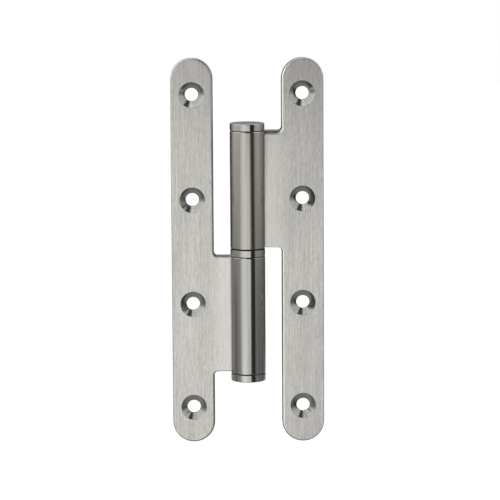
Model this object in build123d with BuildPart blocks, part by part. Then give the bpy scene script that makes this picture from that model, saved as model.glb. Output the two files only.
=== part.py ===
from build123d import *
import os
from math import acos, degrees, sqrt

os.makedirs("parts", exist_ok=True)

# A lift-off paumelle hinge of sheet steel, laid open flat, in millimetres.
# The origin is on the pin's axis at the leaves' mid-height. +Z runs up the pin, the leaves open along X
# with the door leaf on the +X side, and -Y is the face with the countersinks.

# Leaves
leaf_length = 140.0
open_width = 55.0
leaf_width = 15.25
sheet_thickness = 3.0
closed_gap = 3.0
notch_radius = 1.3
front_rounding = 0.6
back_rounding = 0.2

# Screw holes
screws_per_leaf = 4
screw_pitch = 38.0
screw_row_shift = 0.2
screw_hole_diameter = 4.8
countersink_diameter = 9.2
countersink_angle = 100.0

# Rolled knuckle
knuckle_diameter = 12.5
bore_diameter = 6.6
barrel_length = 42.6
barrel_spacing = 2.8
bend_radius = 2.5
seam_width = 0.15
barrel_bevel = 0.15

# Ring, caps and pin
running_gap = 0.35
ring_bevel = 0.15
cap_height = 2.8
cap_rim_bevel = 0.3
cap_joint_bevel = 0.12
spigot_length = 4.0
spigot_chamfer = 0.4
press_interference = 0.01
pin_clearance = 0.05
pin_end_gap = 0.5
pin_end_chamfer = 0.6
pin_tip_clearance = 0.05
pin_tip_radius = 5.0
pin_shoulder = 0.3

# Places that follow from the sizes above
knuckle_radius = knuckle_diameter / 2
bore_radius = bore_diameter / 2
leaf_front = closed_gap / 2
leaf_back = leaf_front + sheet_thickness
leaf_outer = open_width / 2
leaf_inner = leaf_outer - leaf_width
strip_middle = leaf_outer - leaf_width / 2
barrel_start = barrel_spacing / 2
barrel_end = barrel_start + barrel_length
barrel_middle = (barrel_start + barrel_end) / 2
ring_height = barrel_spacing - running_gap
press_radius = bore_radius + press_interference
pin_radius = bore_radius - pin_clearance
arm_root = 0.8 * knuckle_radius
bend_root = sqrt(knuckle_radius**2 - leaf_back**2)
bend_end = bend_root + 2 * bend_radius

front_plane = Plane.XZ.offset(-leaf_front)
back_plane = Plane.XZ.offset(-leaf_back)

# Rolled barrel of the door leaf: the sheet leaves the arm with a soft bend on the back, goes right round
# the bore and ends at a seam against the arm's front face, under the bulge of the barrel
with BuildPart() as rolled_barrel:
    with BuildSketch(Plane.XY.offset(barrel_start)) as roll:
        Circle(knuckle_radius)
        with Locations(((bore_radius + bend_end) / 2, leaf_back - sheet_thickness / 4)):
            Rectangle(bend_end - bore_radius, sheet_thickness / 2)
        bend_corner = roll.vertices().sort_by_distance((bend_root, leaf_back))[0]
        fillet(bend_corner, bend_radius)
    extrude(amount=barrel_length)
    barrel_ends = rolled_barrel.faces().filter_by(Axis.Z)
    chamfer(barrel_ends.edges(), barrel_bevel)

# Door leaf: strip with round ends, arm and rolled barrel, one folded sheet
with BuildPart() as door_leaf:
    with BuildSketch(back_plane) as blank:
        with Locations((strip_middle, 0)):
            SlotOverall(leaf_length, leaf_width, rotation=90)
        with Locations(((arm_root + strip_middle) / 2, barrel_middle)):
            Rectangle(strip_middle - arm_root, barrel_length)
        notch_corners = [
            blank.vertices().sort_by_distance((leaf_inner, height))[0]
            for height in (barrel_start, barrel_end)
        ]
        fillet(notch_corners, notch_radius)
    extrude(amount=sheet_thickness)
    fillet(door_leaf.faces().sort_by(Axis.Y)[0].edges(), front_rounding)
    fillet(door_leaf.faces().sort_by(Axis.Y)[-1].edges(), back_rounding)
    add(rolled_barrel.part)
    with BuildSketch(Plane.XY.offset(barrel_start)) as bore:
        Circle(bore_radius)
        with Locations((knuckle_radius / 2 + seam_width, leaf_front - seam_width / 2)):
            Rectangle(knuckle_radius, seam_width)
    extrude(amount=barrel_length, mode=Mode.SUBTRACT)
    with Locations(front_plane):
        with Locations((strip_middle, screw_row_shift)):
            with GridLocations(leaf_width, screw_pitch, 1, screws_per_leaf):
                CounterSinkHole(
                    radius=screw_hole_diameter / 2,
                    counter_sink_radius=countersink_diameter / 2,
                    counter_sink_angle=countersink_angle,
                )

# Frame leaf: the same stamping and roll, turned half round about the front-to-back axis
with BuildPart() as frame_leaf:
    add(door_leaf.part.rotate(Axis.Y, 180))

# Pin: pressed into the frame leaf's barrel, a running fit in the ring and the door leaf's barrel, with a
# domed tip just under the top cap's spigot
pin_bottom = -barrel_end + spigot_length + pin_end_gap
pin_top = barrel_end - spigot_length - pin_tip_clearance
tip_centre = pin_top - pin_tip_radius
tip_angle = degrees(acos(pin_radius / pin_tip_radius))
with BuildPart() as hinge_pin:
    with BuildSketch(Plane.XZ):
        with BuildLine():
            dome = CenterArc((0, tip_centre), pin_tip_radius, tip_angle, 90 - tip_angle)
            Polyline(
                dome @ 1,
                (0, pin_bottom),
                (press_radius - pin_end_chamfer, pin_bottom),
                (press_radius, pin_bottom + pin_end_chamfer),
                (press_radius, -barrel_start - pin_shoulder),
                (pin_radius, -barrel_start),
                dome @ 0,
            )
        make_face()
    revolve(axis=Axis.Z)

# Ring: stands on the frame leaf's barrel round the pin, with the running gap above it
with BuildPart() as thrust_ring:
    with BuildSketch(Plane.XY.offset(-barrel_start)):
        Circle(knuckle_radius)
        Circle(bore_radius, mode=Mode.SUBTRACT)
    extrude(amount=ring_height)
    ring_edges = thrust_ring.edges().filter_by(GeomType.CIRCLE)
    chamfer(ring_edges.filter_by(lambda edge: edge.radius > bore_radius + ring_bevel), ring_bevel)

# Top cap: a turned plug with a flange as wide as the barrel and a spigot pressed into the bore
with BuildPart() as top_cap:
    with BuildSketch(Plane.XY.offset(barrel_end)):
        Circle(knuckle_radius)
    extrude(amount=cap_height)
    rim = top_cap.edges().sort_by(Axis.Z)[-1]
    joint_edge = top_cap.edges().filter_by(GeomType.CIRCLE).sort_by(Axis.Z)[0]
    chamfer(rim, cap_rim_bevel)
    chamfer(joint_edge, cap_joint_bevel)
    with BuildSketch(Plane.XY.offset(barrel_end)):
        Circle(press_radius)
    extrude(amount=-spigot_length)
    chamfer(top_cap.edges().sort_by(Axis.Z)[0], spigot_chamfer)

# Bottom cap: the same plug, turned over
with BuildPart() as bottom_cap:
    add(top_cap.part.rotate(Axis.X, 180))

for name, piece in (
    ("frame_leaf", frame_leaf),
    ("door_leaf", door_leaf),
    ("hinge_pin", hinge_pin),
    ("thrust_ring", thrust_ring),
    ("top_cap", top_cap),
    ("bottom_cap", bottom_cap),
):
    piece.part.label = name
    export_step(piece.part, f"parts/{name}.step")
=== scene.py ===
"""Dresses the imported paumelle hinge: two folded satin leaves, a turned ring and caps, and a ground pin.

Sizes are in millimetres in the classes and in metres in the meshes. The origin is on the pin's axis at the
leaves' mid-height, +Z runs up the pin, and -Y is the side with the countersinks.
"""

from __future__ import annotations

import logging
import math
from collections.abc import Iterator, Sequence
from contextlib import contextmanager
from dataclasses import dataclass
from enum import Enum
from functools import reduce
from typing import Any

import bmesh
import bpy
from mathutils import Matrix, Vector

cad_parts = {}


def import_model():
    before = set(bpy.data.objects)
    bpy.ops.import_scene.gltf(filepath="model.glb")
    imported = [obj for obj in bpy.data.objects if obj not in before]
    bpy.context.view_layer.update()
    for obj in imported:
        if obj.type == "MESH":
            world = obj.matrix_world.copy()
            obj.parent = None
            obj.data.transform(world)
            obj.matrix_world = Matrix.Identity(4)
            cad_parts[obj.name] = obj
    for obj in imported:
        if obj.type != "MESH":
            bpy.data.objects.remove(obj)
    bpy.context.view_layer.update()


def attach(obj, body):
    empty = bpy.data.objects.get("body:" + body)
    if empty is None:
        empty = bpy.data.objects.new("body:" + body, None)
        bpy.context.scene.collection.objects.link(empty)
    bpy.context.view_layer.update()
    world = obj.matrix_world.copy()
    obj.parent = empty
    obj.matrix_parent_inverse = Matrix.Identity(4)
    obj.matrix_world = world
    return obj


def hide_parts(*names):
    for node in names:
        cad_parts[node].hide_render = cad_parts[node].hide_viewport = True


log = logging.getLogger("paumelle_hinge")

MM = 0.001
SMOOTH_ANGLE = math.radians(31)
MERGE_DISTANCE = 1e-7

# Steps of a small rounding, the largest result of a ramp, the middle part of a noise, and the roughness of
# joints and cut ends
CORNER_STEPS = 4
RAMP_TOP = 2.0
NOISE_RANGE = (0.3, 0.7)
CUT_ROUGHNESS = 0.5

Object = bpy.types.Object
Material = bpy.types.Material
Socket = bpy.types.NodeSocket
Flat = tuple[float, float]
Point = tuple[float, float, float]
Colour = tuple[float, float, float]


class Side(Enum):
    """The two halves of the hinge, by the body that each one rides on."""

    FRAME = "frame_side"
    DOOR = "door_side"


class Operation(Enum):
    """How one shape is combined with another."""

    JOIN = "UNION"
    CUT = "DIFFERENCE"


# Wiring of node trees


class Wiring:
    """Adds nodes to a tree and links them."""

    def __init__(self, tree: bpy.types.NodeTree) -> None:
        """Empties a shader or geometry node tree and keeps it."""
        self.tree = tree
        tree.nodes.clear()

    def add(self, kind: str, feeds: dict[Any, Any] | None = None, **settings: Any) -> bpy.types.Node:
        """Adds one node.

        Args:
            kind: The node's class name.
            feeds: Sockets to link or values to set, by input name or index.
            settings: Properties of the node.

        Returns:
            The new node.
        """
        node = self.tree.nodes.new(kind)
        for name, value in settings.items():
            setattr(node, name, value)
        for key, value in (feeds or {}).items():
            if isinstance(value, bpy.types.NodeSocket):
                self.tree.links.new(value, node.inputs[key])
            else:
                node.inputs[key].default_value = value
        return node

    def math(self, operation: str, *values: Any) -> Socket:
        """Adds a Math node, with its values in the order of its inputs."""
        return self.add("ShaderNodeMath", dict(enumerate(values)), operation=operation).outputs[0]

    def vector_math(self, operation: str, *values: Any, result: str = "Vector") -> Socket:
        """Adds a Vector Math node, with its values in the order of its inputs."""
        return self.add("ShaderNodeVectorMath", dict(enumerate(values)), operation=operation).outputs[result]

    def times(self, *factors: Any) -> Socket:
        """Multiplies two or more numbers or sockets."""
        return reduce(lambda product, factor: self.math("MULTIPLY", product, factor), factors)

    def place(self) -> Socket:
        """Gives the object coordinates."""
        return self.add("ShaderNodeTexCoord").outputs["Object"]

    def split(self, vector: Any) -> list[Socket]:
        """Gives the X, Y and Z of a vector."""
        return list(self.add("ShaderNodeSeparateXYZ", {0: vector}).outputs)

    def blend(self, share: Any, first: Any, second: Any) -> Socket:
        """Mixes two numbers, by how much there is of the second."""
        return self.add("ShaderNodeMix", {0: share, 2: first, 3: second}, data_type="FLOAT").outputs[0]

    def tint(self, share: Any, first: Any, second: Any) -> Socket:
        """Mixes two colours, by how much there is of the second."""
        first, second = ((*one, 1.0) if isinstance(one, tuple) else one for one in (first, second))
        return self.add("ShaderNodeMix", {0: share, 6: first, 7: second}, data_type="RGBA").outputs[2]

    def noise(self, vector: Any, scale: Point, detail: float = 2.0) -> Socket:
        """Adds a noise of about 0.5, with its own number of cells a metre along X, Y and Z."""
        cells = self.add("ShaderNodeMapping", {"Vector": vector, "Scale": scale}).outputs[0]
        return self.add("ShaderNodeTexNoise", {"Vector": cells, "Scale": 1.0, "Detail": detail}).outputs[0]

    def remap(self, value: Any, source: Flat, target: Flat = (0.0, 1.0), smooth: bool = False) -> Socket:
        """Adds a Map Range node, which also keeps the result inside the target.

        Args:
            value: The socket to remap.
            source: The range that it has.
            target: The range that it gets.
            smooth: Whether it eases in and out.

        Returns:
            The remapped value.
        """
        feeds = dict(enumerate((value, *source, *target)))
        kind = "SMOOTHSTEP" if smooth else "LINEAR"
        return self.add("ShaderNodeMapRange", feeds, interpolation_type=kind).outputs[0]

    def rough(self, pattern: Any, middle: float, step: float = 0.03) -> Socket:
        """Lets a noise raise and lower a roughness by a step."""
        return self.remap(pattern, NOISE_RANGE, (middle - step, middle + step))

    def ramp(self, value: Any, source: Flat, stops: Sequence[Flat]) -> Socket:
        """Maps a value through straight lines between stops.

        Args:
            value: The socket to map.
            source: The range that the stops lie in.
            stops: Value and result at each stop, in rising order, with no result above RAMP_TOP.

        Returns:
            The mapped value.
        """
        node = self.add("ShaderNodeValToRGB", {0: self.remap(value, source)})
        elements = node.color_ramp.elements
        for index, (place, result) in enumerate(stops):
            position = (place - source[0]) / (source[1] - source[0])
            element = elements[index] if index < 2 else elements.new(position)
            element.position = position
            element.color = (*[result / RAMP_TOP] * 3, 1.0)
        return self.times(node.outputs[0], RAMP_TOP)

    def band(self, value: Any, bands: Sequence[Flat]) -> Any:
        """Masks the values that lie in any of some bands.

        Args:
            value: The socket to test.
            bands: Middle and half width of each band.

        Returns:
            1 inside a band and 0 elsewhere.
        """
        mask: Any = 0.0
        for middle, half in bands:
            mask = self.math("MAXIMUM", mask, self.math("COMPARE", value, middle, half))
        return mask

    def window(self, value: Any, low: float, high: float, softness: float) -> Socket:
        """Masks a range of a value with soft edges.

        Args:
            value: The socket to test.
            low: Where the range starts.
            high: Where it ends.
            softness: Width of each edge.

        Returns:
            1 inside the range and 0 outside it.
        """
        half = softness / 2
        start = self.remap(value, (low - half, low + half), smooth=True)
        end = self.remap(value, (high - half, high + half), (1.0, 0.0), smooth=True)
        return self.times(start, end)

    def plain_rays(self) -> Socket:
        """Finds the rays to which the surroundings look white.

        Returns:
            1 for camera, glossy and transmission rays, and 0 for the others.
        """
        rays = self.add("ShaderNodeLightPath").outputs
        seen = self.math("MAXIMUM", rays["Is Camera Ray"], rays["Is Glossy Ray"])
        return self.math("MAXIMUM", seen, rays["Is Transmission Ray"])

    def round_z(self) -> Socket:
        """Turns the surface's normal a quarter round the Z axis.

        Returns:
            A level tangent, for lines that run along Z.
        """
        facing = self.add("ShaderNodeNewGeometry").outputs["Normal"]
        side = self.vector_math("CROSS_PRODUCT", (0.0, 0.0, 1.0), facing)
        return self.vector_math("ADD", side, (0.001, 0.0, 0.0))

    def show(self, shader: str, feeds: dict[str, Any], output: str = "Material") -> None:
        """Adds a shader and shows it, as a material or as the world."""
        self.add("ShaderNodeOutput" + output, {"Surface": self.add(shader, feeds).outputs[0]})

    def steel(
        self, colour: Any, rough: Any, pattern: Any, relief: Flat, grain: tuple[Any, Any] | None = None
    ) -> None:
        """Shows bare steel with a fine relief.

        Args:
            colour: Its base colour.
            rough: Its roughness.
            pattern: The pattern of its relief.
            relief: Strength of the relief and its depth in metres.
            grain: How far its gloss spreads and along which tangent, if it has a grain.
        """
        bump = self.add("ShaderNodeBump", {"Strength": relief[0], "Distance": relief[1], "Height": pattern})
        feeds = {"Base Color": colour, "Metallic": 1.0, "Roughness": rough, "Normal": bump.outputs[0]}
        if grain:
            feeds["Anisotropic"], feeds["Tangent"] = grain
        self.show("ShaderNodeBsdfPrincipled", feeds)

    def dress(self, geometry: Socket, finish: Socket) -> bpy.types.NodeTree:
        """Ends a Geometry Nodes tree: its instances become real and take their material.

        Args:
            geometry: The geometry.
            finish: The material.

        Returns:
            The tree.
        """
        real = self.add("GeometryNodeRealizeInstances", {"Geometry": geometry}).outputs[0]
        dressed = self.add("GeometryNodeSetMaterial", {"Geometry": real, "Material": finish}).outputs[0]
        self.add("NodeGroupOutput", {0: dressed})
        return self.tree


def new_tree(name: str, inputs: dict[str, str]) -> tuple[Wiring, Any]:
    """Starts a Geometry Nodes tree.

    Args:
        name: Its name.
        inputs: The kind of each of its inputs, by name.

    Returns:
        Its wiring and the sockets of its inputs.
    """
    tree = bpy.data.node_groups.new(name, "GeometryNodeTree")
    for label, kind in inputs.items():
        tree.interface.new_socket(label, in_out="INPUT", socket_type="NodeSocket" + kind)
    tree.interface.new_socket("Shape", in_out="OUTPUT", socket_type="NodeSocketGeometry")
    wiring = Wiring(tree)
    return wiring, wiring.add("NodeGroupInput").outputs


def new_material(name: str) -> tuple[Material, Wiring]:
    """Makes an empty node material.

    Args:
        name: Its name.

    Returns:
        The material and the wiring of its tree.
    """
    material = bpy.data.materials.new(name)
    material.use_nodes = True
    return material, Wiring(material.node_tree)


# Shapes


def arc(centre: Flat, radius: float, start: float, end: float, steps: int = CORNER_STEPS) -> list[Flat]:
    """Points along an arc, both ends included.

    Args:
        centre: The arc's centre.
        radius: Its radius.
        start: Angle of its first point, in degrees.
        end: Angle of its last point, in degrees.
        steps: Number of equal steps.

    Returns:
        One more point than steps.
    """
    turns = [math.radians(start + (end - start) * step / steps) for step in range(steps + 1)]
    return [(centre[0] + radius * math.cos(a), centre[1] + radius * math.sin(a)) for a in turns]


def new_object(name: str, data: Any) -> Object:
    """Makes an object and links it to the scene.

    Args:
        name: Its name.
        data: Its mesh, lamp or camera.

    Returns:
        The new object.
    """
    made = bpy.data.objects.new(name, data)
    bpy.context.scene.collection.objects.link(made)
    return made


def draw(name: str, corners: Sequence[Any], edges: Sequence[Any] = (), faces: Sequence[Any] = ()) -> Object:
    """Makes a mesh object.

    Args:
        name: Its name.
        corners: Its corners, in metres.
        edges: Pairs of corners.
        faces: Rings of corners.

    Returns:
        The new object.
    """
    mesh = bpy.data.meshes.new(name)
    mesh.from_pydata(corners, edges, faces)
    return new_object(name, mesh)


@contextmanager
def opened(mesh: bpy.types.Mesh) -> Iterator[bmesh.types.BMesh]:
    """Opens a mesh for work on its parts and writes it back.

    Args:
        mesh: The mesh.

    Yields:
        Its parts.
    """
    work = bmesh.new()
    work.from_mesh(mesh)
    yield work
    work.to_mesh(mesh)
    work.free()


def tidy(piece: Object) -> None:
    """Merges a mesh's doubles and points its faces outwards.

    Args:
        piece: The mesh object.
    """
    with opened(piece.data) as work:
        bmesh.ops.remove_doubles(work, verts=work.verts, dist=MERGE_DISTANCE)
        bmesh.ops.recalc_face_normals(work, faces=work.faces)


def shell(name: str, rings: Sequence[Sequence[Point]]) -> Object:
    """Skins equal rings of points into one closed solid with a flat face at each end.

    Args:
        name: The object's name.
        rings: Rings of the same number of points, in millimetres.

    Returns:
        The new object, with its faces outwards.
    """
    count = len(rings[0])
    corners = [Vector(point) * MM for ring in rings for point in ring]
    faces = [tuple(range(count)), tuple(range(len(corners) - count, len(corners)))]
    for first in range(0, len(corners) - count, count):
        for step in range(count):
            after = (step + 1) % count
            faces.append((first + step, first + after, first + count + after, first + count + step))
    made = draw(name, corners, faces=faces)
    tidy(made)
    return made


def slice_across(piece: Object, heights: Sequence[float]) -> None:
    """Cuts a mesh's faces along level planes, so that no flat face closes round a hole that is cut later.

    Args:
        piece: The mesh object.
        heights: Z of each plane, in millimetres.
    """
    with opened(piece.data) as work:
        for height in heights:
            everything = [*work.verts, *work.edges, *work.faces]
            bmesh.ops.bisect_plane(work, geom=everything, plane_co=(0, 0, height * MM), plane_no=(0, 0, 1))


def settle(piece: Object) -> None:
    """Puts an object's evaluated shape in its own plain mesh and takes its modifiers off.

    Args:
        piece: An object with modifiers.
    """
    graph = bpy.context.evaluated_depsgraph_get()
    graph.update()
    shape = piece.evaluated_get(graph)
    mesh = bpy.data.meshes.new_from_object(shape, preserve_all_data_layers=True, depsgraph=graph)
    piece.modifiers.clear()
    piece.data = mesh


def combine(piece: Object, other: Object, operation: Operation) -> None:
    """Joins a second shape to a piece or cuts it out of the piece, and removes the second one.

    Args:
        piece: The shape that stays.
        other: The shape that is used up.
        operation: Join or cut.
    """
    boolean = piece.modifiers.new("combine", "BOOLEAN")
    boolean.object = other
    boolean.operation = operation.value
    boolean.solver = "MANIFOLD"
    boolean.material_mode = "TRANSFER"
    settle(piece)
    bpy.data.objects.remove(other)
    tidy(piece)


def smooth_fan(vertex: bmesh.types.BMVert, start: bmesh.types.BMFace) -> set[bmesh.types.BMFace]:
    """Collects the faces round a vertex that meet without a sharp edge.

    Args:
        vertex: The vertex.
        start: One of its faces.

    Returns:
        The faces that share one normal with it there.
    """
    fan, waiting = {start}, [start]
    while waiting:
        face = waiting.pop()
        for edge in face.edges:
            if edge.smooth and vertex in edge.verts:
                fresh = set(edge.link_faces) - fan
                fan |= fresh
                waiting.extend(fresh)
    return fan


def shade(piece: Object) -> None:
    """Shades a piece smooth, keeps its corners sharp, and lets large faces decide the normals at their edges.

    Args:
        piece: The mesh object.
    """
    mesh = piece.data
    mesh.shade_smooth()
    mesh.set_sharp_from_angle(angle=SMOOTH_ANGLE)
    work = bmesh.new()
    work.from_mesh(mesh)
    leaning = {face: face.normal * face.calc_area() for face in work.faces}
    normals = [Vector((0.0, 0.0, 1.0))] * len(mesh.loops)
    for vertex in work.verts:
        left = set(vertex.link_faces)
        while left:
            fan = smooth_fan(vertex, left.pop())
            left -= fan
            normal = sum((leaning[face] for face in fan), Vector()).normalized()
            for loop in vertex.link_loops:
                if loop.face in fan:
                    normals[loop.index] = normal
    work.free()
    mesh.normals_split_custom_set(normals)


def grow(piece: Object, tree: bpy.types.NodeTree, sizes: dict[str, Any]) -> None:
    """Runs a Geometry Nodes tree on a piece and keeps the result as its plain mesh.

    Args:
        piece: The object that the tree works on.
        tree: The tree.
        sizes: A value for each of its named inputs.
    """
    modifier = piece.modifiers.new(tree.name, "NODES")
    modifier.node_group = tree
    for socket in tree.interface.items_tree:
        if socket.in_out == "INPUT" and socket.name in sizes:
            modifier[socket.identifier] = sizes[socket.name]
    settle(piece)


@dataclass(frozen=True)
class TurnedForm:
    """Sweeps a profile once round its axis, as a lathe does."""

    facets: int = 192
    path_radius: float = 1.0

    def tree(self) -> bpy.types.NodeTree:
        """Makes the Geometry Nodes tree, or finds it if it is there already.

        Returns:
            The tree, with inputs for its profile, facets, path radius and finish.
        """
        found = bpy.data.node_groups.get("turned_form")
        if found:
            return found
        inputs = {"Profile": "Geometry", "Facets": "Int", "Path Radius": "Float", "Finish": "Material"}
        wiring, given = new_tree("turned_form", inputs)
        profile = wiring.add("GeometryNodeMeshToCurve", {"Mesh": given["Profile"]}).outputs[0]
        path = wiring.add(
            "GeometryNodeCurvePrimitiveCircle",
            {"Resolution": given["Facets"], "Radius": given["Path Radius"]},
            mode="RADIUS",
        ).outputs[0]
        swept = wiring.add("GeometryNodeCurveToMesh", {"Curve": path, "Profile Curve": profile}).outputs[0]
        feeds = {"Geometry": swept, "Distance": MERGE_DISTANCE}
        closed = wiring.add("GeometryNodeMergeByDistance", feeds).outputs[0]
        return wiring.dress(closed, given["Finish"])

    def build(self, name: str, profile: Sequence[Flat], finish: Material, closed: bool = False) -> Object:
        """Turns one solid about the Z axis.

        Args:
            name: The object's name.
            profile: Radius and height of each of its corners, in millimetres.
            finish: The material of its faces.
            closed: Whether the profile is a loop, for a ring, and doesn't start and end on the axis.

        Returns:
            The turned solid, as a plain mesh.
        """
        corners = [((radius - self.path_radius) * MM, -height * MM, 0.0) for radius, height in profile]
        edges = [(step, step + 1) for step in range(len(corners) - 1)]
        if closed:
            edges.append((len(corners) - 1, 0))
        made = draw(name, corners, edges)
        sizes = {"Facets": self.facets, "Path Radius": self.path_radius * MM, "Finish": finish}
        grow(made, self.tree(), sizes)
        tidy(made)
        return made


@dataclass(frozen=True)
class HoleRow:
    """Cutters for one leaf's screw holes: a countersink, a straight hole and softened rims."""

    count: int = 4
    pitch: float = 38.0
    shift: float = 0.2
    hole_radius: float = 2.4
    sink_radius: float = 4.6
    sink_angle: float = 100.0
    rim_rounding: float = 0.14
    exit_rounding: float = 0.12
    overshoot: float = 0.5
    facets: int = 128
    path_radius: float = 0.5

    @property
    def places(self) -> list[float]:
        """Z of each hole, from the lowest."""
        first = self.shift - self.pitch * (self.count - 1) / 2
        return [first + self.pitch * step for step in range(self.count)]

    def profile(self, depth: float) -> list[Flat]:
        """Draws one cutter's profile, with depth growing away from the leaf's face.

        Args:
            depth: The sheet's thickness.

        Returns:
            Radius and depth of each corner, from above the face to below the back.
        """
        rim, half = self.rim_rounding, self.sink_angle / 2
        flare = rim * math.tan(math.radians(90 - half) / 2)
        front = [(x, -z) for x, z in arc((self.sink_radius + flare, -rim), rim, 90, 180 - half)]
        waist = (self.sink_radius - self.hole_radius) / math.tan(math.radians(half))
        lip = self.exit_rounding
        back = arc((self.hole_radius + lip, depth - lip), lip, 180, 90)
        return [
            (0.0, -self.overshoot),
            (self.sink_radius + flare, -self.overshoot),
            *front,
            (self.hole_radius, waist),
            *back,
            (self.hole_radius + lip, depth + self.overshoot),
            (0.0, depth + self.overshoot),
        ]

    def tree(self) -> bpy.types.NodeTree:
        """Makes the Geometry Nodes tree that sets a cutter at each hole, or finds it.

        Returns:
            The tree, with inputs for its cutter, count, first place, step and finish.
        """
        found = bpy.data.node_groups.get("hole_row")
        if found:
            return found
        inputs = {"Cutter": "Geometry", "Count": "Int", "First": "Vector", "Step": "Vector"}
        wiring, given = new_tree("hole_row", {**inputs, "Finish": "Material"})
        line = wiring.add(
            "GeometryNodeMeshLine",
            {"Count": given["Count"], "Start Location": given["First"], "Offset": given["Step"]},
            mode="OFFSET",
            count_mode="TOTAL",
        ).outputs[0]
        feeds = {"Points": line, "Instance": given["Cutter"]}
        row = wiring.add("GeometryNodeInstanceOnPoints", feeds).outputs[0]
        return wiring.dress(row, given["Finish"])

    def build(self, middle: float, face: float, depth: float, finish: Material) -> Object:
        """Makes the row of cutters, sunk along +Y from the leaf's face.

        Args:
            middle: X of the row.
            face: Y of the leaf's face.
            depth: The sheet's thickness.
            finish: The material of the cut faces.

        Returns:
            All cutters as one mesh.
        """
        form = TurnedForm(self.facets, self.path_radius)
        cutter = form.build("screw_hole", self.profile(depth), finish)
        cutter.data.transform(Matrix.Rotation(math.radians(-90), 4, "X"))
        first, step = Vector((middle, face, self.places[0])) * MM, Vector((0, 0, self.pitch)) * MM
        grow(cutter, self.tree(), {"Count": self.count, "First": first, "Step": step, "Finish": finish})
        tidy(cutter)
        return cutter


# Finishes


def dim(colour: Colour, share: float) -> Colour:
    """Gives a share of a colour."""
    return tuple(share * part for part in colour)


@dataclass(frozen=True)
class BrushedSteel:
    """Stainless sheet brushed along Z: its gloss spreads across the lines; painted shade darkens its edges,
    partly for the duller cut face, and a painted highlight lightens their front rim.
    """

    name: str
    colour: Colour = (0.795, 0.79, 0.759)
    calm_share: float = 1.1
    calm_streaks: float = 0.45
    fade_share: float = 0.3
    edge_shade_share: float = 0.25
    # Painted highlight on the edges' front rim, and painted shade on their rounding and cut wall
    rim_highlight_share: float = 1.45
    wall_share: float = 0.5
    band_depth: float = 0.06
    line_depth: float = 0.34
    band_cells: Point = (1500.0, 1500.0, 30.0)
    band_range: Flat = (0.34, 0.66)
    line_range: Flat = (0.39, 0.61)
    cloud_cells: Point = (90.0, 90.0, 24.0)
    hair_cells: float = 5200.0
    hairlines: tuple[Flat, ...] = ((1.9, 0.4), (8.0, 0.33), (40.0, 0.27))
    roughness: float = 0.31
    line_roughness: float = 0.05
    spread: float = 0.52
    relief: Flat = (0.35, 4e-6)
    # Ranges in millimetres, the first two out from the pin's axis and the others in from its plane
    calm: Flat = (8.5, 14.5)
    fade: Flat = (16.0, 23.0)
    rim: Flat = (1.5, 1.53)
    edge: Flat = (1.6, 1.73)
    wall: Flat = (2.1, 2.8)
    back: Flat = (4.35, 4.47)

    def share(self, wiring: Wiring, place: Any, streaks: tuple[Any, Any]) -> Socket:
        """Works out how much of its colour each spot of the sheet shows.

        Args:
            wiring: The material's wiring.
            place: The object coordinates.
            streaks: Depth of the wide streaks and of the hairlines.

        Returns:
            The share: darker in the streaks, darker at the edges by painted shade and the duller cut face,
                lighter at their front rim by a painted highlight.
        """
        x, y, _ = wiring.split(place)
        distance = wiring.times(wiring.math("ABSOLUTE", x), 1 / MM)
        inwards = wiring.times(y, 1 / MM)
        worked = wiring.remap(distance, self.calm, smooth=True)
        amount = wiring.remap(worked, (0.0, 1.0), (self.calm_streaks, 1.0))
        share = wiring.remap(worked, (0.0, 1.0), (self.calm_share, 1.0))
        for streak, depth in zip(streaks, (self.band_depth, self.line_depth)):
            deep = wiring.times(streak, amount, depth)
            share = wiring.times(share, wiring.math("SUBTRACT", 1.0, deep))
        behind = wiring.remap(inwards, self.back, (1.0, 0.0))
        inner = wiring.remap(distance, self.fade, (1.0, self.fade_share), smooth=True)
        # Painted highlight: a thin band along the front rim of the edges, strongest by the knuckle
        rim = wiring.times(wiring.remap(inwards, self.rim), inner, self.rim_highlight_share - 1)
        share = wiring.times(share, wiring.math("ADD", rim, 1.0))
        # Painted shade over the edge rounding and, fading towards the back, the cut wall, strongest by the
        # knuckle; on the cut wall it also gives the duller sheared face
        edge = wiring.remap(inwards, self.edge, smooth=True)
        wall = wiring.remap(inwards, self.wall, (1.0, self.wall_share), smooth=True)
        edge = wiring.times(edge, wall, behind, inner, 1 - self.edge_shade_share / self.rim_highlight_share)
        return wiring.times(share, wiring.math("SUBTRACT", 1.0, edge))

    def build(self) -> Material:
        """Makes the material.

        Returns:
            The brushed steel.
        """
        material, wiring = new_material(self.name)
        place = wiring.place()
        fine: Any = 0.0
        for length, part in self.hairlines:
            hair = wiring.noise(place, (self.hair_cells, self.hair_cells, 1 / (length * MM)))
            fine = wiring.math("ADD", fine, wiring.times(hair, part))
        bands = wiring.remap(wiring.noise(place, self.band_cells, detail=3.0), self.band_range)
        lines = wiring.remap(fine, self.line_range)
        colour = wiring.vector_math("MULTIPLY", self.colour, self.share(wiring, place, (bands, lines)))
        rough = wiring.rough(wiring.noise(place, self.cloud_cells, detail=3.0), self.roughness)
        rough = wiring.math("ADD", rough, wiring.times(lines, self.line_roughness))
        wiring.steel(colour, rough, fine, self.relief, (self.spread, wiring.round_z()))
        return material


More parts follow.
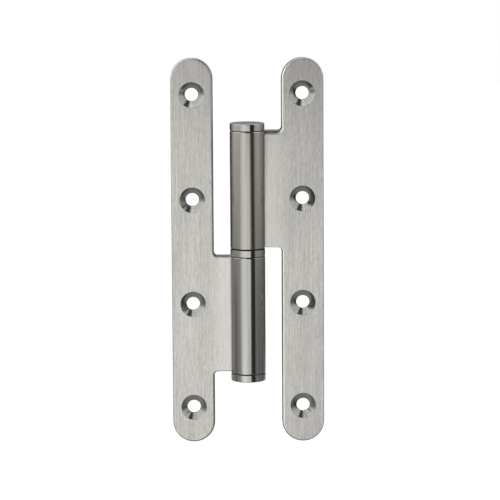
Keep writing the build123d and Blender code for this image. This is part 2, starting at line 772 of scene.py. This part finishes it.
@dataclass(frozen=True)
class RolledSteel:
    """The outside of a rolled barrel: polished, with painted shade on its ends and on the chamfers by the
    knuckle's gaps, and in the corner at its arm.
    """

    name: str
    arm: int
    colour: Colour = (0.53, 0.522, 0.5)
    deep_colour: Colour = (0.44, 0.435, 0.42)
    gap_shade_colour: Colour = (0.16, 0.16, 0.155)
    streak_cells: Point = (750.0, 750.0, 9.0)
    line_cells: Point = (2600.0, 2600.0, 40.0)
    line_part: float = 0.4
    contrast: Flat = (0.36, 0.64)
    roughness: float = 0.16
    streak_roughness: Flat = (-0.02, 0.04)
    spread: float = 0.25
    relief: Flat = (0.2, 4e-6)
    corner_shade_depth: float = 0.3
    corner: Flat = (5.45, 5.75)
    ends: tuple[Flat, ...] = ((-44.0, 0.006), (-1.45, 0.06), (1.67, 0.12), (44.0, 0.006))

    def build(self) -> Material:
        """Makes the material.

        Returns:
            The rolled steel.
        """
        material, wiring = new_material(self.name)
        place = wiring.place()
        x, _, z = wiring.split(place)
        # Painted shade on the end faces and on the chamfers beside the gaps of the knuckle
        cut = wiring.band(wiring.times(z, 1 / MM), self.ends)
        armwards = wiring.times(x, self.arm / MM)
        # Painted shade in the corner where the barrel meets its arm
        corner = wiring.remap(armwards, self.corner, (0.0, self.corner_shade_depth), smooth=True)
        coarse = wiring.noise(place, self.streak_cells, detail=3.0)
        streak = wiring.blend(self.line_part, coarse, wiring.noise(place, self.line_cells))
        colour = wiring.tint(wiring.remap(streak, self.contrast), self.colour, self.deep_colour)
        colour = wiring.tint(wiring.math("MAXIMUM", cut, corner), colour, self.gap_shade_colour)
        smoothest, roughest = (self.roughness + step for step in self.streak_roughness)
        rough = wiring.remap(streak, self.contrast, (smoothest, roughest))
        rough = wiring.blend(cut, rough, CUT_ROUGHNESS)
        wiring.steel(colour, rough, streak, self.relief, (self.spread, wiring.round_z()))
        return material


@dataclass(frozen=True)
class TurnedSteel:
    """Stainless steel turned on a lathe: fine lines run round the Z axis, and painted shade darkens its faces
    in the joint gaps.
    """

    name: str
    joints: tuple[Flat, ...]
    colour: Colour = (0.56, 0.55, 0.53)
    deep_share: float = 0.93
    joint_shade_colour: Colour = (0.05, 0.05, 0.048)
    line_cells: Point = (9000.0, 1.0, 9000.0)
    cloud_cells: Point = (260.0, 260.0, 180.0)
    roughness: float = 0.13
    spread: float = 0.4
    relief: Flat = (0.15, 2e-6)

    def build(self) -> Material:
        """Makes the material.

        Returns:
            The turned steel.
        """
        material, wiring = new_material(self.name)
        place = wiring.place()
        x, y, z = wiring.split(place)
        across = wiring.add("ShaderNodeCombineXYZ", {0: x, 1: y}).outputs[0]
        out = wiring.vector_math("LENGTH", across, result="Value")
        lathe = wiring.add("ShaderNodeCombineXYZ", {0: out, 2: z}).outputs[0]
        lines = wiring.noise(lathe, self.line_cells)
        # Painted shade on the faces inside the joint gaps: the recess under a cap's flange and the ring's
        # faces at the barrels
        joint = wiring.band(wiring.times(z, 1 / MM), self.joints)
        colour = wiring.tint(wiring.remap(lines, NOISE_RANGE), dim(self.colour, self.deep_share), self.colour)
        colour = wiring.tint(joint, colour, self.joint_shade_colour)
        rough = wiring.rough(wiring.noise(place, self.cloud_cells), self.roughness)
        rough = wiring.blend(joint, rough, CUT_ROUGHNESS)
        facing = wiring.add("ShaderNodeNewGeometry").outputs["Normal"]
        outward = wiring.add(
            "ShaderNodeVectorTransform",
            {0: across},
            vector_type="VECTOR",
            convert_from="OBJECT",
            convert_to="WORLD",
        ).outputs[0]
        round_axis = wiring.vector_math("CROSS_PRODUCT", (0.0, 0.0, 1.0), outward)
        tangent = wiring.vector_math("NORMALIZE", wiring.vector_math("CROSS_PRODUCT", facing, round_axis))
        wiring.steel(colour, rough, lines, self.relief, (self.spread, tangent))
        return material


@dataclass(frozen=True)
class SunkSteel:
    """Steel cut by a countersink: fine rings round each screw hole."""

    name: str
    row: HoleRow
    middle: float
    colour: Colour = (0.47, 0.47, 0.46)
    deep_share: float = 0.7
    ring_cells: Point = (2000.0, 1.0, 1.0)
    roughness: float = 0.14
    ring_roughness: float = 0.04
    relief: Flat = (0.35, 3e-6)

    def build(self) -> Material:
        """Makes the material.

        Returns:
            The countersunk steel.
        """
        material, wiring = new_material(self.name)
        x, _, z = wiring.split(wiring.place())
        across = wiring.math("SUBTRACT", x, self.middle * MM)
        half = self.row.pitch * MM / 2
        start = math.copysign(self.row.shift * MM, self.middle)
        along = wiring.math("WRAP", wiring.math("SUBTRACT", z, start + half), half, -half)
        squares = (wiring.math("POWER", way, 2.0) for way in (across, along))
        out = wiring.math("SQRT", wiring.math("ADD", *squares))
        rings = wiring.noise(wiring.add("ShaderNodeCombineXYZ", {0: out}).outputs[0], self.ring_cells)
        colour = wiring.tint(wiring.remap(rings, NOISE_RANGE), dim(self.colour, self.deep_share), self.colour)
        rough = wiring.rough(rings, self.roughness, -self.ring_roughness)
        wiring.steel(colour, rough, rings, self.relief)
        return material


# Pieces


@dataclass
class Leaf:
    """One leaf: a round-ended strip, its arm and its rolled barrel, folded from one sheet."""

    side: Side
    length: float = 140.0
    width: float = 15.25
    outer: float = 27.5
    front: float = 1.5
    thickness: float = 3.0
    notch_radius: float = 1.3
    front_rounding: float = 0.6
    back_rounding: float = 0.2
    outer_share: float = 0.75
    inner_share: float = 1.5
    lit_share: float = 3.1
    low_share: float = 0.7
    barrel_start: float = 1.4
    gap_lift: float = 0.0
    barrel_end: float = 44.0
    barrel_radius: float = 6.25
    bore_radius: float = 3.3
    bend_radius: float = 2.5
    roll_overlap: float = 0.6
    barrel_chamfer: float = 0.2
    chamfer_height: float = 0.34
    mouth_rounding: float = 0.15
    seam_width: float = 0.15
    seam_span: Flat = (2.9, 6.45)
    cutter_margin: float = 1.0
    facets: int = 128
    notch_steps: int = 14
    root: float = 5.3

    @property
    def middle(self) -> float:
        """X of the middle of the strip."""
        return self.outer - self.width / 2

    @property
    def back(self) -> float:
        """Y of the leaf's back."""
        return self.front + self.thickness

    def turn(
        self, centre: Flat, radius: float, angles: Flat, shares: Flat, inset: float, steps: int = 36
    ) -> list[Point]:
        """Draws one bend of the outline, with a rounding that grows or shrinks along it.

        Args:
            centre: The bend's centre.
            radius: Its radius, below zero where the bend is hollow.
            angles: Where it starts and ends, in degrees.
            shares: Share of the rounding at its start and at its end.
            inset: How far inside the outline a share of 1 lies.
            steps: Number of equal steps.

        Returns:
            X, Z and share of each point.
        """
        points = []
        for step in range(steps + 1):
            way = step / steps
            share = shares[0] + (shares[1] - shares[0]) * way
            angle = math.radians(angles[0] + (angles[1] - angles[0]) * way)
            reach = abs(radius - inset * share)
            points.append((centre[0] + reach * math.cos(angle), centre[1] + reach * math.sin(angle), share))
        return points

    def outline(self, inset: float, even: bool = False) -> list[Point]:
        """Draws the strip and its arm.

        Args:
            inset: How far inside the true outline the points lie where the share is 1.
            even: Whether the share is 1 all round, or larger on the edges towards the knuckle.

        Returns:
            X, Z and share of the points, anticlockwise as seen from the front.
        """
        inner = self.outer - self.width
        end = self.width / 2
        reach = self.length / 2 - end
        bend = self.notch_radius
        steps = self.notch_steps
        far, near, upper, lower = self.outer_share, self.inner_share, self.lit_share, self.low_share
        if self.side is Side.FRAME:
            upper, lower = lower, upper
        if even:
            far = near = upper = lower = 1.0
        return [
            *self.turn((self.middle, -reach), end, (180, 270), (near, 1), inset)[:-1],
            *self.turn((self.middle, -reach), end, (270, 360), (1, far), inset),
            *self.turn((self.middle, reach), end, (0, 90), (far, 1), inset)[:-1],
            *self.turn((self.middle, reach), end, (90, 180), (1, near), inset),
            *self.turn((inner - bend, self.barrel_end + bend), -bend, (0, -90), (near, upper), inset, steps),
            (self.root, self.barrel_end - inset * upper, upper),
            (self.root, self.barrel_start + inset * lower, lower),
            *self.turn((inner - bend, self.barrel_start - bend), -bend, (90, 0), (lower, near), inset, steps),
        ]

    def plate(self) -> Object:
        """Makes the strip and the arm, with a soft front edge and a tight back edge.

        Returns:
            The plate.
        """
        soft, tight = self.front_rounding, self.back_rounding
        rings = []
        for x, y in arc((0, 0), soft, 90, 0, steps=10):
            points = self.outline(soft - x)
            rings.append([(px, self.front + (soft - y) * math.sqrt(share), pz) for px, pz, share in points])
        for x, y in arc((0, 0), tight, 0, 90):
            points = self.outline(tight - x, even=True)
            rings.append([(px, self.back - tight + y, pz) for px, pz, _ in points])
        return shell("plate", rings)

    def roll_section(self, inset: float) -> list[Flat]:
        """Draws the barrel's outside with the soft bend where the sheet leaves the arm's back.

        Args:
            inset: How far inside the true outline the points lie.

        Returns:
            X and Y of the points.
        """
        radius, bend, back = self.barrel_radius, self.bend_radius, self.back
        lift = back + bend
        over = math.sqrt((radius + bend) ** 2 - lift**2)
        tangent = math.degrees(math.atan2(lift, over))
        middle_y, far = back - self.thickness / 2, over + self.roll_overlap
        low = 360 + math.degrees(math.asin(middle_y / radius))
        return [
            *arc((0, 0), radius - inset, tangent, low, steps=180),
            (far, middle_y),
            (far, back - inset),
            *arc((over, lift), bend + inset, 270, 180 + tangent, steps=16)[:-1],
        ]

    def roll(self) -> Object:
        """Makes the barrel as a solid, with bevelled ends.

        Returns:
            The barrel, not yet bored.
        """
        cut, tall = self.barrel_chamfer, self.chamfer_height
        low, high = self.barrel_start + self.gap_lift, self.barrel_end
        steps = [(cut, low), (0.0, low + tall), (0.0, high - tall), (cut, high)]
        rings = [[(x, y, z) for x, y in self.roll_section(inset)] for inset, z in steps]
        return shell("roll", rings)

    def bore(self, finish: Material) -> Object:
        """Makes the cutter of the barrel's bore, with softened mouths.

        Args:
            finish: The material of the cut faces.

        Returns:
            The cutter.
        """
        soft, radius = self.mouth_rounding, self.bore_radius
        low, high, past = self.barrel_start + self.gap_lift, self.barrel_end, self.cutter_margin
        profile = [
            (0.0, low - past),
            (radius + soft, low - past),
            *arc((radius + soft, low + soft), soft, 270, 180),
            *arc((radius + soft, high - soft), soft, 180, 90),
            (radius + soft, high + past),
            (0.0, high + past),
        ]
        return TurnedForm(self.facets).build("bore", profile, finish)

    def seam(self) -> Object:
        """Makes the cutter of the seam, where the rolled sheet ends against the arm's face.

        Returns:
            The cutter.
        """
        (near, far), top, bottom = self.seam_span, self.front - self.seam_width, self.front
        corners = [(near, top), (far, top), (far, bottom), (near, bottom)]
        heights = (self.barrel_start - self.cutter_margin, self.barrel_end + self.cutter_margin)
        return shell("seam", [[(x, y, z) for x, y in corners] for z in heights])

    def build(self, sheet: Material, roll: Material, sunk: Material) -> Object:
        """Makes the leaf and puts it on its body.

        Args:
            sheet: The finish of the plate.
            roll: The finish of the barrel.
            sunk: The finish of the countersinks.

        Returns:
            The finished leaf.
        """
        holes = HoleRow()
        leaf, barrel, seam = self.plate(), self.roll(), self.seam()
        for shape, finish in ((leaf, sheet), (barrel, roll), (seam, roll)):
            shape.data.materials.append(finish)
        slice_across(leaf, holes.places)
        combine(leaf, barrel, Operation.JOIN)
        combine(leaf, self.bore(roll), Operation.CUT)
        combine(leaf, seam, Operation.CUT)
        combine(leaf, holes.build(self.middle, self.front, self.thickness, sunk), Operation.CUT)
        node = "door_leaf"
        if self.side is Side.FRAME:
            leaf.data.transform(Matrix.Rotation(math.pi, 4, "Y"))
            node = "frame_leaf"
        shade(leaf)
        leaf.name = node + "_sheet"
        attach(leaf, self.side.value)
        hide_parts(node)
        return leaf


@dataclass
class EndCap:
    """A turned plug that closes one end of the knuckle: a flange and a spigot pressed into the bore."""

    side: Side
    radius: float = 6.25
    joint: float = 44.0
    height: float = 2.8
    rim_rounding: float = 0.3
    joint_rounding: float = 0.06
    joint_gap: float = 0.3
    joint_radius: float = 5.6
    spigot_radius: float = 3.31
    spigot_length: float = 4.0
    spigot_chamfer: float = 0.4

    def build(self, finish: Material) -> Object:
        """Makes the cap and puts it on its body.

        Args:
            finish: The turned finish.

        Returns:
            The finished cap.
        """
        rim, edge, top = self.rim_rounding, self.joint_rounding, self.joint + self.height
        low, under = self.joint - self.spigot_length, self.joint + self.joint_gap
        profile = [
            (0.0, low),
            (self.spigot_radius - self.spigot_chamfer, low),
            (self.spigot_radius, low + self.spigot_chamfer),
            (self.spigot_radius, self.joint),
            (self.joint_radius, self.joint),
            (self.joint_radius, under),
            *arc((self.radius - edge, under + edge), edge, 270, 360),
            *arc((self.radius - rim, top - rim), rim, 0, 90, steps=6),
            (0.0, top),
        ]
        node = "top_cap"
        cap = TurnedForm().build(node + "_turned", profile, finish)
        if self.side is Side.FRAME:
            node = "bottom_cap"
            cap.data.transform(Matrix.Rotation(math.pi, 4, "X"))
        shade(cap)
        cap.name = node + "_turned"
        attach(cap, self.side.value)
        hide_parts(node)
        return cap


@dataclass
class ThrustRing:
    """The turned ring between the two barrels."""

    radius: float = 6.25
    bore_radius: float = 3.3
    low: float = -1.4
    high: float = 1.22
    rounding: float = 0.06
    joint_gap: float = 0.24
    joint_radius: float = 5.6

    def build(self, finish: Material) -> Object:
        """Makes the ring and puts it on its body.

        Args:
            finish: The turned finish.

        Returns:
            The finished ring.
        """
        soft, under = self.rounding, self.low + self.joint_gap
        profile = [
            *arc((self.bore_radius + soft, self.low + soft), soft, 180, 270),
            (self.joint_radius, self.low),
            (self.joint_radius, under),
            *arc((self.radius - soft, under + soft), soft, 270, 360),
            *arc((self.radius - soft, self.high - soft), soft, 0, 90),
            *arc((self.bore_radius + soft, self.high - soft), soft, 90, 180),
        ]
        ring = TurnedForm().build("thrust_ring_turned", profile, finish, closed=True)
        shade(ring)
        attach(ring, "loose_ring")
        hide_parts("thrust_ring")
        return ring


@dataclass
class HingePin:
    """The ground pin: pressed into the lower barrel, running in the upper one, with a domed tip."""

    press_radius: float = 3.31
    run_radius: float = 3.25
    low: float = -39.5
    high: float = 39.95
    step: float = -1.4
    step_height: float = 0.3
    chamfer: float = 0.6
    tip_radius: float = 5.0
    facets: int = 128

    def build(self, finish: Material) -> Object:
        """Makes the pin and puts it on its body.

        Args:
            finish: The ground finish.

        Returns:
            The finished pin.
        """
        tip = math.degrees(math.acos(self.run_radius / self.tip_radius))
        profile = [
            (0.0, self.low),
            (self.press_radius - self.chamfer, self.low),
            (self.press_radius, self.low + self.chamfer),
            (self.press_radius, self.step - self.step_height),
            (self.run_radius, self.step),
            *arc((0.0, self.high - self.tip_radius), self.tip_radius, tip, 90, steps=24),
        ]
        pin = TurnedForm(self.facets).build("hinge_pin_ground", profile, finish)
        shade(pin)
        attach(pin, Side.FRAME.value)
        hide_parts("hinge_pin")
        return pin


# Studio


def towards(azimuth: float, elevation: float) -> Vector:
    """Points from the hinge outwards, with azimuths in degrees from the front towards +X."""
    turn, lift = math.radians(azimuth), math.radians(elevation)
    return Vector((math.sin(turn) * math.cos(lift), -math.cos(turn) * math.cos(lift), math.sin(lift)))


@dataclass(frozen=True)
class Panel:
    """A panel of the light tent: azimuths of its sides, levels by elevation and shares by azimuth."""

    left: float
    right: float
    softness: float
    levels: tuple[Flat, ...]
    shares: tuple[Flat, ...] = ((-180, 1), (180, 1))


@dataclass(frozen=True)
class Spot:
    """A round lit or dark patch of the light tent."""

    azimuth: float
    elevation: float
    radius: float
    level: float
    softness: float = 8.0


# Levels that several panels end with, towards the zenith
LEFT_TOP = ((15, 1.15), (70, 1.2), (80, 1.5))
FRONT_TOP = ((60, 0.8), (75, 1.5))
RIGHT_TOP = ((12, 0.9), (50, 0.9), (70, 1.2), (80, 1.5))


@dataclass(frozen=True)
class Studio:
    """Camera, white surroundings, pale floor, one soft lamp, and a light tent that only gloss sees."""

    distance: float = 1.0
    elevation: float = 8.3
    yaw: float = -0.45
    roll: float = 0.36
    pixels_per_mm: float = 2.7715
    origin_pixel: Flat = (247.8, 252.1)
    picture: float = 500.0
    sensor: float = 36.0
    view_end: float = 50.0
    plain_light: float = 0.8
    floor_height: float = -0.45
    floor_reach: float = 6.0
    floor_glow: float = 0.3
    floor_colours: tuple[Colour, Colour] = ((0.9, 0.9, 0.9), (0.92, 0.92, 0.92))
    floor_cells: Point = (40.0, 40.0, 40.0)
    floor_roughness: float = 0.9
    lamp_place: Point = (-0.35, -0.45, 1.1)
    lamp_size: float = 0.5
    lamp_power: float = 6.0
    tent_radius: float = 0.42
    tent_colour: Colour = (1.0, 0.99, 0.97)
    nadir: Flat = (-90, 0.22)
    back_levels: tuple[Flat, ...] = (
        (-75, 0.22), (-60, 0.65), (-18, 0.65), (-15, 0.1), (2, 0.1), (6, 0.28), (16, 0.3), (25, 0.5),
        (60, 0.6), (75, 1.5),
    )
    panels: tuple[Panel, ...] = (
        Panel(-133, -50, 3, (
            (-35, 0.24), (-16, 0.31), (-10.5, 0.34), (-8.5, 0.4), (-5, 0.54), (0, 0.62), (6, 0.95), *LEFT_TOP,
        ), ((-140, 0.7), (-128, 0.88), (-115, 1.02), (-90, 0.98), (-74, 0.98), (-60, 1.05), (-50, 1.2))),
        Panel(-94, -83, 4, (
            (-35, 0.13), (-16, 0.12), (-10.5, 0.14), (-8, 0.34), (-5, 0.53), (0, 0.61), (6, 0.94), *LEFT_TOP,
        )),
        Panel(-64, -50, 3, (
            (-35, 0.3), (-16, 0.38), (-10.5, 0.42), (-8.5, 0.45), (-5, 0.46), (-2.5, 0.48), (0, 0.58),
            (2, 0.65), (6, 0.92), *LEFT_TOP,
        )),
        Panel(-50, 18.5, 2, (
            (-38, 0.25), (-32, 0.45), (-26, 0.9), (-21, 1.08), (-14, 1.1), (-8, 1.06), (-3, 1.02),
            (-0.6, 0.98), (1, 1.08), (4, 0.88), (12, 0.52), (22, 0.3), (35, 0.13), (50, 0.13), *FRONT_TOP,
        ), (
            (-50, 0.66), (-42, 0.8), (-30, 0.96), (-18, 1.04), (-9, 0.98), (-2, 0.89), (10, 0.79), (18, 0.7),
        )),
        Panel(18.5, 47.5, 1.5, (
            (-35, 0.15), (-25, 0.03), (20, 0.03), (40, 0.1), (50, 0.12), *FRONT_TOP,
        )),
        Panel(47.5, 112, 2, (
            (-35, 0.22), (-14, 0.23), (-9, 0.29), (-5, 0.46), (-0.5, 0.53), (1, 0.39), (5, 0.6), *RIGHT_TOP,
        ), ((47, 1.0), (58, 1.1), (68, 1.15), (84, 1.0), (96, 1.0), (103, 0.65), (112, 0.35))),
        Panel(69, 82, 4, (
            (-35, 0.2), (-14, 0.17), (-9, 0.25), (-5, 0.48), (0, 0.58), (5, 0.7), *RIGHT_TOP,
        )),
    )
    spots: tuple[Spot, ...] = (
        Spot(-90, 42, 36, 1.2),
        Spot(47, 61, 14, 0.1, 4),
        Spot(-25, 17, 13, 1.7, 6),
        Spot(18, 18, 19.5, 0.02, 4),
        Spot(5, 22, 18, 0.02, 4),
        Spot(10, -5, 9, 0.97, 8),
        Spot(-26, -29, 14, 1.25, 6),
    )

    def camera(self) -> None:
        """Makes the camera at the photograph's viewing angle."""
        eye = towards(self.yaw, self.elevation)
        right = (-eye).cross(Vector((0, 0, 1))).normalized()
        turn = Matrix((right, right.cross(-eye), eye)).transposed().to_4x4()
        data = bpy.data.cameras.new("camera")
        data.sensor_width = self.sensor
        data.lens = self.pixels_per_mm * self.distance / MM * self.sensor / self.picture
        data.shift_x = (self.picture / 2 - self.origin_pixel[0]) / self.picture
        data.shift_y = (self.origin_pixel[1] - self.picture / 2) / self.picture
        data.clip_end = self.view_end
        camera = new_object("camera", data)
        lean = Matrix.Rotation(math.radians(-self.roll), 4, "Z")
        camera.matrix_world = Matrix.Translation(eye * self.distance) @ turn @ lean
        bpy.context.scene.camera = camera

    def world(self) -> None:
        """Makes the surroundings: white to the camera and plain soft light to everything else."""
        world = bpy.data.worlds.new("white_studio")
        world.use_nodes = True
        wiring = Wiring(world.node_tree)
        strength = wiring.blend(wiring.plain_rays(), self.plain_light, 1.0)
        wiring.show("ShaderNodeBackground", {"Color": (1.0, 1.0, 1.0, 1.0), "Strength": strength}, "World")
        world.cycles.sampling_method = "NONE"
        bpy.context.scene.world = world

    def floor(self) -> None:
        """Makes the pale floor, which keeps the hinge's soft shadow."""
        reach, height = self.floor_reach, self.floor_height
        corners = [(x * reach, y * reach, height) for x, y in ((-1, -1), (1, -1), (1, 1), (-1, 1))]
        floor = draw("floor", corners, faces=[(0, 1, 2, 3)])
        material, wiring = new_material("pale_floor")
        grain = wiring.noise(wiring.place(), self.floor_cells)
        wiring.show(
            "ShaderNodeBsdfPrincipled",
            {
                "Base Color": wiring.tint(grain, *self.floor_colours),
                "Roughness": self.floor_roughness,
                "Specular IOR Level": 0.0,
                "Emission Color": (1.0, 1.0, 1.0, 1.0),
                "Emission Strength": wiring.times(wiring.plain_rays(), self.floor_glow),
            },
        )
        floor.data.materials.append(material)

    def lamp(self) -> None:
        """Makes the soft lamp above, which throws the shadow on the floor."""
        data = bpy.data.lights.new("soft_lamp", "AREA")
        data.shape = "DISK"
        data.size = self.lamp_size
        data.energy = self.lamp_power
        lamp = new_object("soft_lamp", data)
        place = Vector(self.lamp_place)
        lamp.matrix_world = Matrix.Translation(place) @ place.to_track_quat("Z", "Y").to_matrix().to_4x4()
        lamp.visible_camera = False
        lamp.visible_glossy = False

    def glow(self) -> Material:
        """Makes the tent's light, by direction from the hinge.

        Returns:
            The glow of its back, its panels and its spots.
        """
        material, wiring = new_material("tent_panels")
        way = wiring.vector_math("NORMALIZE", wiring.place())
        x, y, z = wiring.split(way)
        azimuth = wiring.math("DEGREES", wiring.math("ARCTAN2", x, wiring.times(y, -1.0)))
        elevation = wiring.math("DEGREES", wiring.math("ARCSINE", z))
        level = wiring.ramp(elevation, (-90, 90), (self.nadir, *self.back_levels))
        for panel in self.panels:
            by_height = wiring.ramp(elevation, (-90, 90), (self.nadir, *panel.levels))
            shown = wiring.times(by_height, wiring.ramp(azimuth, (-180, 180), panel.shares))
            mask = wiring.window(azimuth, panel.left, panel.right, panel.softness)
            level = wiring.blend(mask, level, shown)
        for spot in self.spots:
            axis = towards(spot.azimuth, spot.elevation)
            dot = wiring.vector_math("DOT_PRODUCT", way, axis, result="Value")
            angle = wiring.math("DEGREES", wiring.math("ARCCOSINE", wiring.math("MINIMUM", dot, 1.0)))
            reach = (spot.radius - spot.softness / 2, spot.radius + spot.softness / 2)
            level = wiring.blend(wiring.remap(angle, reach, (1.0, 0.0), smooth=True), level, spot.level)
        wiring.show("ShaderNodeEmission", {"Color": (*self.tent_colour, 1.0), "Strength": level})
        material.cycles.emission_sampling = "NONE"
        return material

    def tent(self) -> None:
        """Makes the light tent round the hinge: its panels are what the steel mirrors."""
        tent = draw("light_tent", [])
        with opened(tent.data) as work:
            bmesh.ops.create_icosphere(work, subdivisions=5, radius=self.tent_radius)
        tent.data.shade_smooth()
        tent.data.materials.append(self.glow())
        for ray in ("camera", "diffuse", "transmission", "volume_scatter", "shadow"):
            setattr(tent, "visible_" + ray, False)

    def build(self) -> None:
        """Sets up the whole studio and the view transform."""
        self.camera()
        self.world()
        self.floor()
        self.lamp()
        self.tent()
        bpy.context.scene.view_settings.view_transform = "Standard"


def main() -> None:
    """Loads the frame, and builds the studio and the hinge."""
    logging.basicConfig(level=logging.INFO, format="%(message)s")
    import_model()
    Studio().build()
    sheets = {
        Side.FRAME: BrushedSteel("satin_frame_sheet").build(),
        # Painted light: the door sheet is a lighter copy of the same steel, with its arm lightened less
        Side.DOOR: BrushedSteel("satin_door_sheet", (0.815, 0.81, 0.781), calm_share=1.02).build(),
    }
    # The frame barrel gets deeper painted shade in the corner at its arm
    frame_roll = RolledSteel("rolled_frame_steel", -1, roughness=0.14, corner_shade_depth=0.9)
    door_roll = RolledSteel("rolled_door_steel", 1, (0.542, 0.524, 0.49), (0.45, 0.434, 0.404), roughness=0.2)
    rolls = {Side.FRAME: frame_roll.build(), Side.DOOR: door_roll.build()}
    # The bands lie over the recesses under the flanges and the ring's faces; the steel there gets painted
    # shade
    turned = TurnedSteel("turned_cap_steel", ((42.15, 2.16), (-42.15, 2.16))).build()
    ringed = TurnedSteel("turned_ring_steel", ((1.22, 0.006), (-1.28, 0.126))).build()
    ground = TurnedSteel("ground_steel", (), roughness=0.16, spread=0.3, relief=(0.08, 2e-6)).build()
    row = HoleRow()
    made = []
    for leaf, sign in (
        (Leaf(Side.FRAME, lit_share=1.8), -1),
        (Leaf(Side.DOOR, outer_share=0.5, low_share=0.4, gap_lift=0.17), 1),
    ):
        side = leaf.side
        sunk = SunkSteel("sunk_steel_" + side.value, row, sign * leaf.middle).build()
        made += [leaf.build(sheets[side], rolls[side], sunk), EndCap(side).build(turned)]
    made += [ThrustRing().build(ringed), HingePin().build(ground)]
    for piece in made:
        log.info("%s: %d faces", piece.name, len(piece.data.polygons))


if __name__ == "__main__":
    main()
